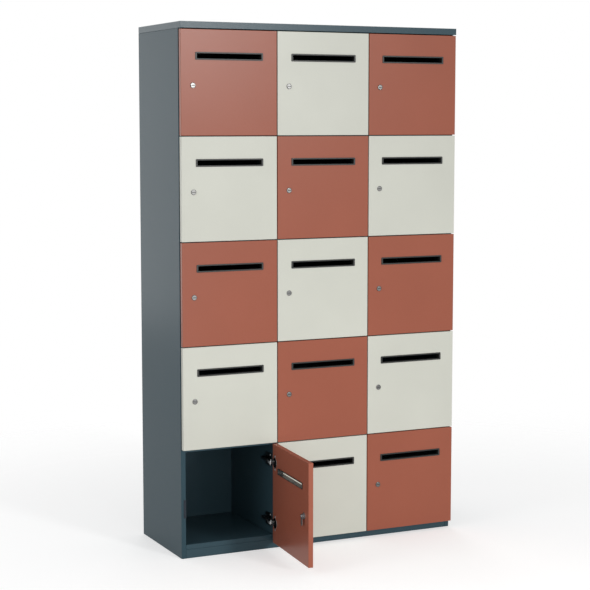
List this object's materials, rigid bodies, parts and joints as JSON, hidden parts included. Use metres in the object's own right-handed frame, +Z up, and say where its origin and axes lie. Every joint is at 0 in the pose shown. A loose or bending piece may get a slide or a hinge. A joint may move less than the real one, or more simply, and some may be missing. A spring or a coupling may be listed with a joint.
{
  "type": "lockable mail sorter",
  "caption": "Tall free-standing board cabinet with a grid of lockable hinged doors, each with a mail slot, for handing out post and small parcels.",
  "frame": {"origin": "on the floor at the middle of the footprint of the carcass and top board; the open door reaches out in front of it", "axes": "+Z up, +X to the right as seen from the front, -Y out of the door fronts"},
  "size_m": [1.151, 0.8137, 1.98],
  "materials": {
    "carcass": "matt blue-grey melamine board",
    "terracotta": "matt terracotta melamine board",
    "cream": "matt cream melamine board",
    "liner": "satin black moulding",
    "lock": "polished nickel",
    "hinge": "nickel-plated steel"
  },
  "bodies": {
    "carcass": {"left_side": "carcass", "right_side": "carcass", "top_board": "carcass", "base_board": "carcass", "plinth_rail": "carcass", "back_panel": "carcass", "divider_1": "carcass", "divider_2": "carcass", "shelf_1": "carcass", "shelf_2": "carcass", "shelf_3": "carcass", "shelf_4": "carcass"},
    "door_r1c1": {"door_r1c1": "terracotta", "slot_liner_r1c1": "liner"},
    "lock_r1c1": {"lock_r1c1": "lock"},
    "door_r1c2": {"door_r1c2": "cream", "slot_liner_r1c2": "liner"},
    "lock_r1c2": {"lock_r1c2": "lock"},
    "door_r1c3": {"door_r1c3": "terracotta", "slot_liner_r1c3": "liner"},
    "lock_r1c3": {"lock_r1c3": "lock"},
    "door_r2c1": {"door_r2c1": "cream", "slot_liner_r2c1": "liner"},
    "lock_r2c1": {"lock_r2c1": "lock"},
    "door_r2c2": {"door_r2c2": "terracotta", "slot_liner_r2c2": "liner"},
    "lock_r2c2": {"lock_r2c2": "lock"},
    "door_r2c3": {"door_r2c3": "cream", "slot_liner_r2c3": "liner"},
    "lock_r2c3": {"lock_r2c3": "lock"},
    "door_r3c1": {"door_r3c1": "terracotta", "slot_liner_r3c1": "liner"},
    "lock_r3c1": {"lock_r3c1": "lock"},
    "door_r3c2": {"door_r3c2": "cream", "slot_liner_r3c2": "liner"},
    "lock_r3c2": {"lock_r3c2": "lock"},
    "door_r3c3": {"door_r3c3": "terracotta", "slot_liner_r3c3": "liner"},
    "lock_r3c3": {"lock_r3c3": "lock"},
    "door_r4c1": {"door_r4c1": "cream", "slot_liner_r4c1": "liner"},
    "lock_r4c1": {"lock_r4c1": "lock"},
    "door_r4c2": {"door_r4c2": "terracotta", "slot_liner_r4c2": "liner"},
    "lock_r4c2": {"lock_r4c2": "lock"},
    "door_r4c3": {"door_r4c3": "cream", "slot_liner_r4c3": "liner"},
    "lock_r4c3": {"lock_r4c3": "lock"},
    "door_r5c1": {"door_r5c1": "terracotta", "slot_liner_r5c1": "liner"},
    "lock_r5c1": {"lock_r5c1": "lock"},
    "door_r5c2": {"door_r5c2": "cream", "slot_liner_r5c2": "liner"},
    "lock_r5c2": {"lock_r5c2": "lock"},
    "door_r5c3": {"door_r5c3": "terracotta", "slot_liner_r5c3": "liner"},
    "lock_r5c3": {"lock_r5c3": "lock"},
    "hinge_link_upper": {"hinge_link_upper": "hinge"},
    "hinge_link_lower": {"hinge_link_lower": "hinge"}
  },
  "joints": [
    {"name": "door_r1c1_hinge", "type": "hinge", "parent": "carcass", "child": "door_r1c1", "pos_m": [-0.19358, -0.2175, 1.57035], "axis": [0, 0, 1], "range_deg": [0, 90]},
    {"name": "lock_r1c1_turn", "type": "hinge", "parent": "door_r1c1", "child": "lock_r1c1", "pos_m": [-0.52725, -0.2175, 1.751], "axis": [0, 1, 0], "range_deg": [0, 90]},
    {"name": "door_r1c2_hinge", "type": "hinge", "parent": "carcass", "child": "door_r1c2", "pos_m": [0.19008, -0.2175, 1.57035], "axis": [0, 0, 1], "range_deg": [0, 90]},
    {"name": "lock_r1c2_turn", "type": "hinge", "parent": "door_r1c2", "child": "lock_r1c2", "pos_m": [-0.14358, -0.2175, 1.751], "axis": [0, 1, 0], "range_deg": [0, 90]},
    {"name": "door_r1c3_hinge", "type": "hinge", "parent": "carcass", "child": "door_r1c3", "pos_m": [0.57375, -0.2175, 1.57035], "axis": [0, 0, 1], "range_deg": [0, 90]},
    {"name": "lock_r1c3_turn", "type": "hinge", "parent": "door_r1c3", "child": "lock_r1c3", "pos_m": [0.24008, -0.2175, 1.751], "axis": [0, 1, 0], "range_deg": [0, 90]},
    {"name": "door_r2c1_hinge", "type": "hinge", "parent": "carcass", "child": "door_r2c1", "pos_m": [-0.19358, -0.2175, 1.1847], "axis": [0, 0, 1], "range_deg": [0, 90]},
    {"name": "lock_r2c1_turn", "type": "hinge", "parent": "door_r2c1", "child": "lock_r2c1", "pos_m": [-0.52725, -0.2175, 1.36535], "axis": [0, 1, 0], "range_deg": [0, 90]},
    {"name": "door_r2c2_hinge", "type": "hinge", "parent": "carcass", "child": "door_r2c2", "pos_m": [0.19008, -0.2175, 1.1847], "axis": [0, 0, 1], "range_deg": [0, 90]},
    {"name": "lock_r2c2_turn", "type": "hinge", "parent": "door_r2c2", "child": "lock_r2c2", "pos_m": [-0.14358, -0.2175, 1.36535], "axis": [0, 1, 0], "range_deg": [0, 90]},
    {"name": "door_r2c3_hinge", "type": "hinge", "parent": "carcass", "child": "door_r2c3", "pos_m": [0.57375, -0.2175, 1.1847], "axis": [0, 0, 1], "range_deg": [0, 90]},
    {"name": "lock_r2c3_turn", "type": "hinge", "parent": "door_r2c3", "child": "lock_r2c3", "pos_m": [0.24008, -0.2175, 1.36535], "axis": [0, 1, 0], "range_deg": [0, 90]},
    {"name": "door_r3c1_hinge", "type": "hinge", "parent": "carcass", "child": "door_r3c1", "pos_m": [-0.19358, -0.2175, 0.79905], "axis": [0, 0, 1], "range_deg": [0, 90]},
    {"name": "lock_r3c1_turn", "type": "hinge", "parent": "door_r3c1", "child": "lock_r3c1", "pos_m": [-0.52725, -0.2175, 0.9797], "axis": [0, 1, 0], "range_deg": [0, 90]},
    {"name": "door_r3c2_hinge", "type": "hinge", "parent": "carcass", "child": "door_r3c2", "pos_m": [0.19008, -0.2175, 0.79905], "axis": [0, 0, 1], "range_deg": [0, 90]},
    {"name": "lock_r3c2_turn", "type": "hinge", "parent": "door_r3c2", "child": "lock_r3c2", "pos_m": [-0.14358, -0.2175, 0.9797], "axis": [0, 1, 0], "range_deg": [0, 90]},
    {"name": "door_r3c3_hinge", "type": "hinge", "parent": "carcass", "child": "door_r3c3", "pos_m": [0.57375, -0.2175, 0.79905], "axis": [0, 0, 1], "range_deg": [0, 90]},
    {"name": "lock_r3c3_turn", "type": "hinge", "parent": "door_r3c3", "child": "lock_r3c3", "pos_m": [0.24008, -0.2175, 0.9797], "axis": [0, 1, 0], "range_deg": [0, 90]},
    {"name": "door_r4c1_hinge", "type": "hinge", "parent": "carcass", "child": "door_r4c1", "pos_m": [-0.19358, -0.2175, 0.4134], "axis": [0, 0, 1], "range_deg": [0, 90]},
    {"name": "lock_r4c1_turn", "type": "hinge", "parent": "door_r4c1", "child": "lock_r4c1", "pos_m": [-0.52725, -0.2175, 0.59405], "axis": [0, 1, 0], "range_deg": [0, 90]},
    {"name": "door_r4c2_hinge", "type": "hinge", "parent": "carcass", "child": "door_r4c2", "pos_m": [0.19008, -0.2175, 0.4134], "axis": [0, 0, 1], "range_deg": [0, 90]},
    {"name": "lock_r4c2_turn", "type": "hinge", "parent": "door_r4c2", "child": "lock_r4c2", "pos_m": [-0.14358, -0.2175, 0.59405], "axis": [0, 1, 0], "range_deg": [0, 90]},
    {"name": "door_r4c3_hinge", "type": "hinge", "parent": "carcass", "child": "door_r4c3", "pos_m": [0.57375, -0.2175, 0.4134], "axis": [0, 0, 1], "range_deg": [0, 90]},
    {"name": "lock_r4c3_turn", "type": "hinge", "parent": "door_r4c3", "child": "lock_r4c3", "pos_m": [0.24008, -0.2175, 0.59405], "axis": [0, 1, 0], "range_deg": [0, 90]},
    {"name": "door_r5c1_hinge", "type": "hinge", "parent": "carcass", "child": "door_r5c1", "pos_m": [-0.19358, -0.2175, 0.02775], "axis": [0, 0, 1], "range_deg": [-85, 5]},
    {"name": "lock_r5c1_turn", "type": "hinge", "parent": "door_r5c1", "child": "lock_r5c1", "pos_m": [-0.22266, -0.5499, 0.2084], "axis": [-0.9962, 0.0872, 0], "range_deg": [0, 90]},
    {"name": "door_r5c2_hinge", "type": "hinge", "parent": "carcass", "child": "door_r5c2", "pos_m": [0.19008, -0.2175, 0.02775], "axis": [0, 0, 1], "range_deg": [0, 90]},
    {"name": "lock_r5c2_turn", "type": "hinge", "parent": "door_r5c2", "child": "lock_r5c2", "pos_m": [-0.14358, -0.2175, 0.2084], "axis": [0, 1, 0], "range_deg": [0, 90]},
    {"name": "door_r5c3_hinge", "type": "hinge", "parent": "carcass", "child": "door_r5c3", "pos_m": [0.57375, -0.2175, 0.02775], "axis": [0, 0, 1], "range_deg": [0, 90]},
    {"name": "lock_r5c3_turn", "type": "hinge", "parent": "door_r5c3", "child": "lock_r5c3", "pos_m": [0.24008, -0.2175, 0.2084], "axis": [0, 1, 0], "range_deg": [0, 90]},
    {"name": "hinge_link_upper_pivot", "type": "hinge", "parent": "carcass", "child": "hinge_link_upper", "pos_m": [-0.21358, -0.2035, 0.3399], "axis": [0, 0, 1], "range_deg": [-85, 5]},
    {"name": "hinge_link_lower_pivot", "type": "hinge", "parent": "carcass", "child": "hinge_link_lower", "pos_m": [-0.21358, -0.2035, 0.10675], "axis": [0, 0, 1], "range_deg": [-85, 5]}
  ],
  "couplings": [
    {"joint": "hinge_link_upper_pivot", "follows": "door_r5c1_hinge", "ratio": 1},
    {"joint": "hinge_link_lower_pivot", "follows": "door_r5c1_hinge", "ratio": 1}
  ]
}
